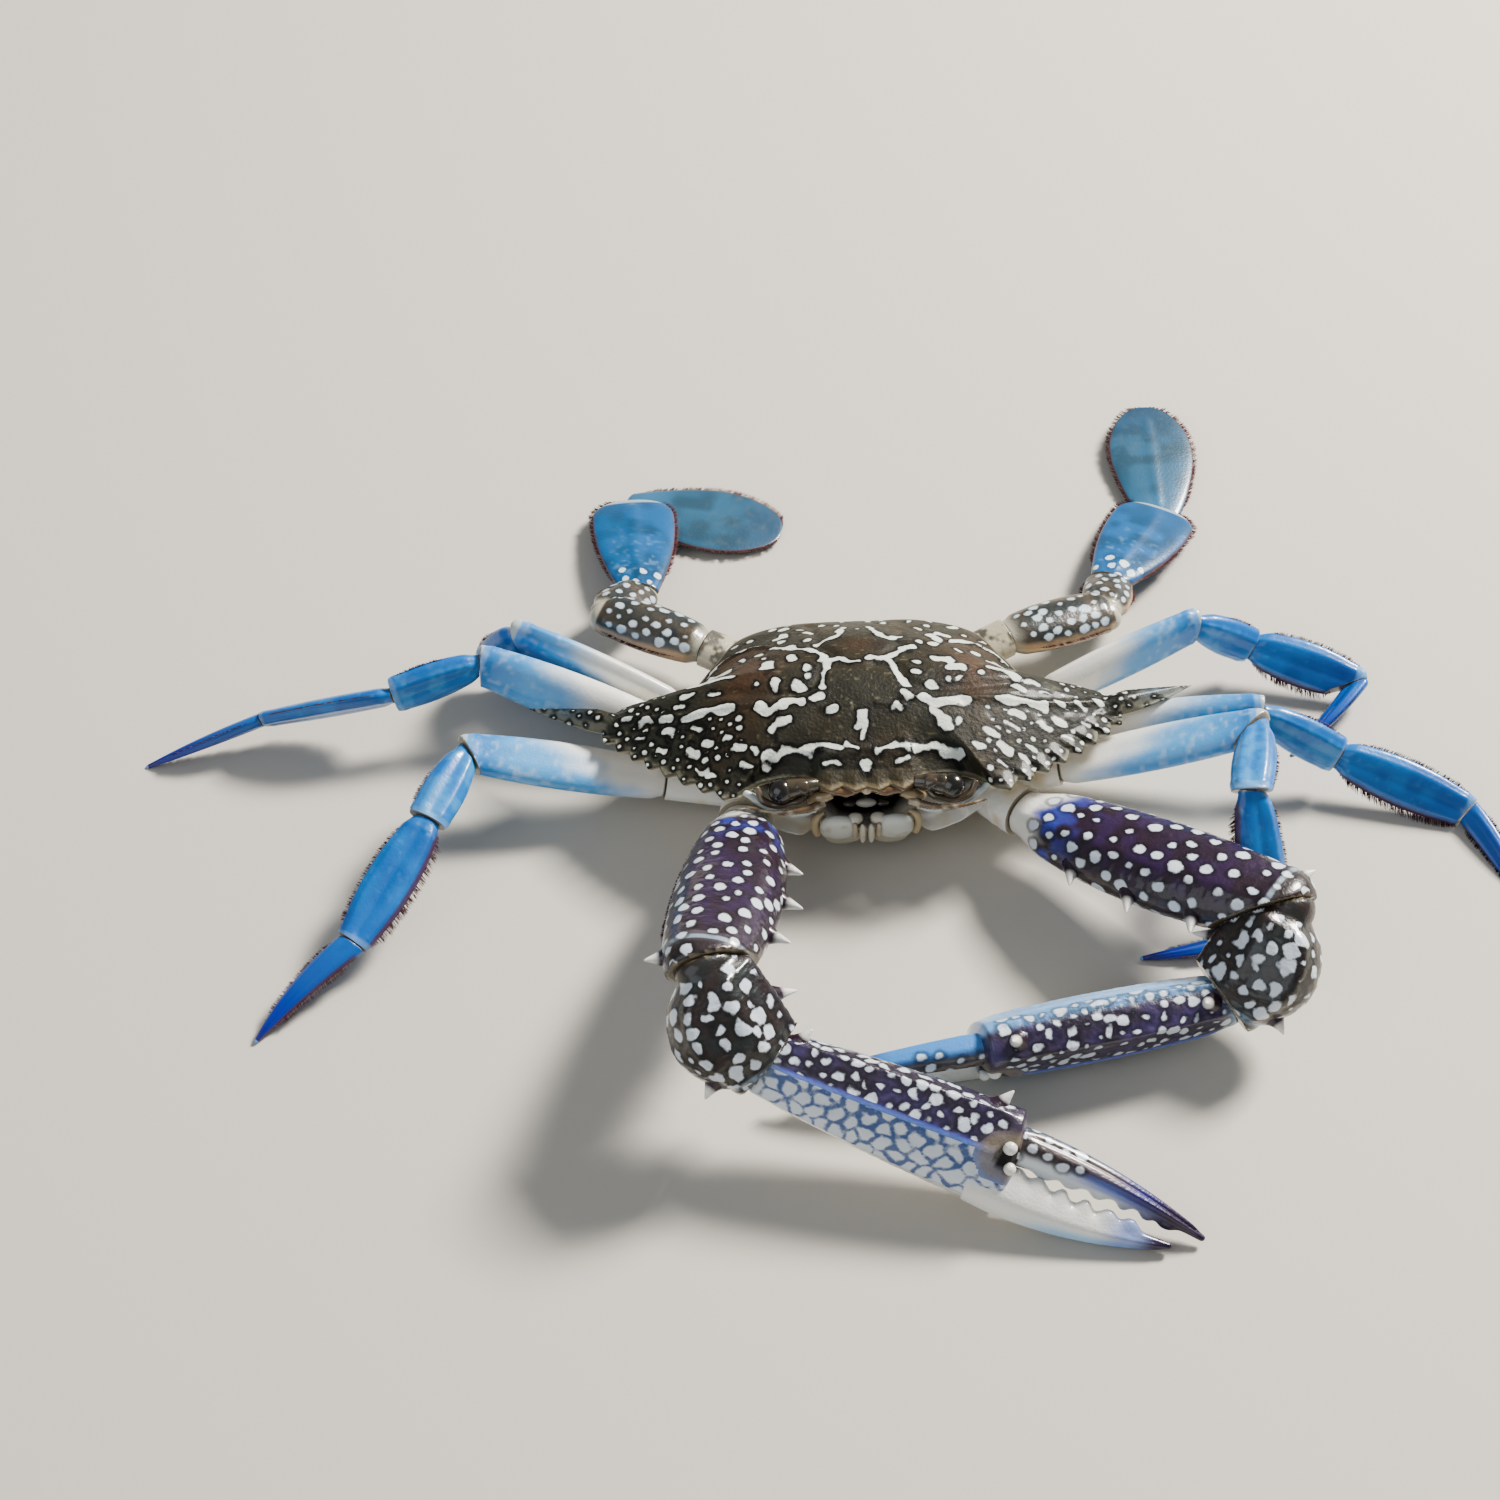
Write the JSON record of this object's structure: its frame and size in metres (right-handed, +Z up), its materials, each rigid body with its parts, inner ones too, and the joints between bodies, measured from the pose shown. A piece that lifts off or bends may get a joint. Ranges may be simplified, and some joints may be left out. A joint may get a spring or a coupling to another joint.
{
  "type": "blue swimming crab",
  "caption": "Whole male blue swimming crab at rest, claws folded in front of a wide spotted shell with long side spines, blue legs spread and flat rear paddles.",
  "frame": {"origin": "centre of the crab's whole footprint box on the floor it rests on", "axes": "+X to the crab's left, -Y the way it faces, +Z up"},
  "size_m": [0.3102, 0.2496, 0.0449],
  "materials": {
    "shell": "wet, finely grained shell, dark olive with pale blotches",
    "belly": "smooth cream shell",
    "claw": "wet shell, dark violet with round white spots",
    "leg": "smooth wet shell, bright blue with a pale start",
    "pale": "smooth white shell",
    "swimmer": "wet shell, dark grey with white spots",
    "paddle": "thin wet shell, blue",
    "eye": "smooth and glossy, near black",
    "feeler": "ringed, brown"
  },
  "bodies": {
    "root": {"carapace": "shell", "thorax": "belly", "abdomen": "belly", "eye_right": "eye", "antenna_right": "feeler", "maxilliped_right": "belly", "eye_left": "eye", "antenna_left": "feeler", "maxilliped_left": "belly", "cheliped_right_base": "pale", "cheliped_right_merus": "claw", "cheliped_right_carpus": "claw", "cheliped_right_propodus": "claw", "cheliped_right_dactyl": "claw", "cheliped_left_base": "pale", "cheliped_left_merus": "claw", "cheliped_left_carpus": "claw", "cheliped_left_propodus": "claw", "cheliped_left_dactyl": "claw", "leg2_right_base": "pale", "leg2_right_merus": "leg", "leg2_right_carpus": "leg", "leg2_right_propodus": "leg", "leg2_right_dactyl": "leg", "leg2_left_base": "pale", "leg2_left_merus": "leg", "leg2_left_carpus": "leg", "leg2_left_propodus": "leg", "leg2_left_dactyl": "leg", "leg3_right_base": "pale", "leg3_right_merus": "leg", "leg3_right_carpus": "leg", "leg3_right_propodus": "leg", "leg3_right_dactyl": "leg", "leg3_left_base": "pale", "leg3_left_merus": "leg", "leg3_left_carpus": "leg", "leg3_left_propodus": "leg", "leg3_left_dactyl": "leg", "leg4_right_base": "pale", "leg4_right_merus": "leg", "leg4_right_carpus": "leg", "leg4_right_propodus": "leg", "leg4_right_dactyl": "leg", "leg4_left_base": "pale", "leg4_left_merus": "leg", "leg4_left_carpus": "leg", "leg4_left_propodus": "leg", "leg4_left_dactyl": "leg", "swimmer_right_base": "swimmer", "swimmer_right_merus": "swimmer", "swimmer_right_carpus": "swimmer", "swimmer_right_propodus": "paddle", "swimmer_right_dactyl": "paddle", "swimmer_left_base": "swimmer", "swimmer_left_merus": "swimmer", "swimmer_left_carpus": "swimmer", "swimmer_left_propodus": "paddle", "swimmer_left_dactyl": "paddle"}
  },
  "joints": []
}
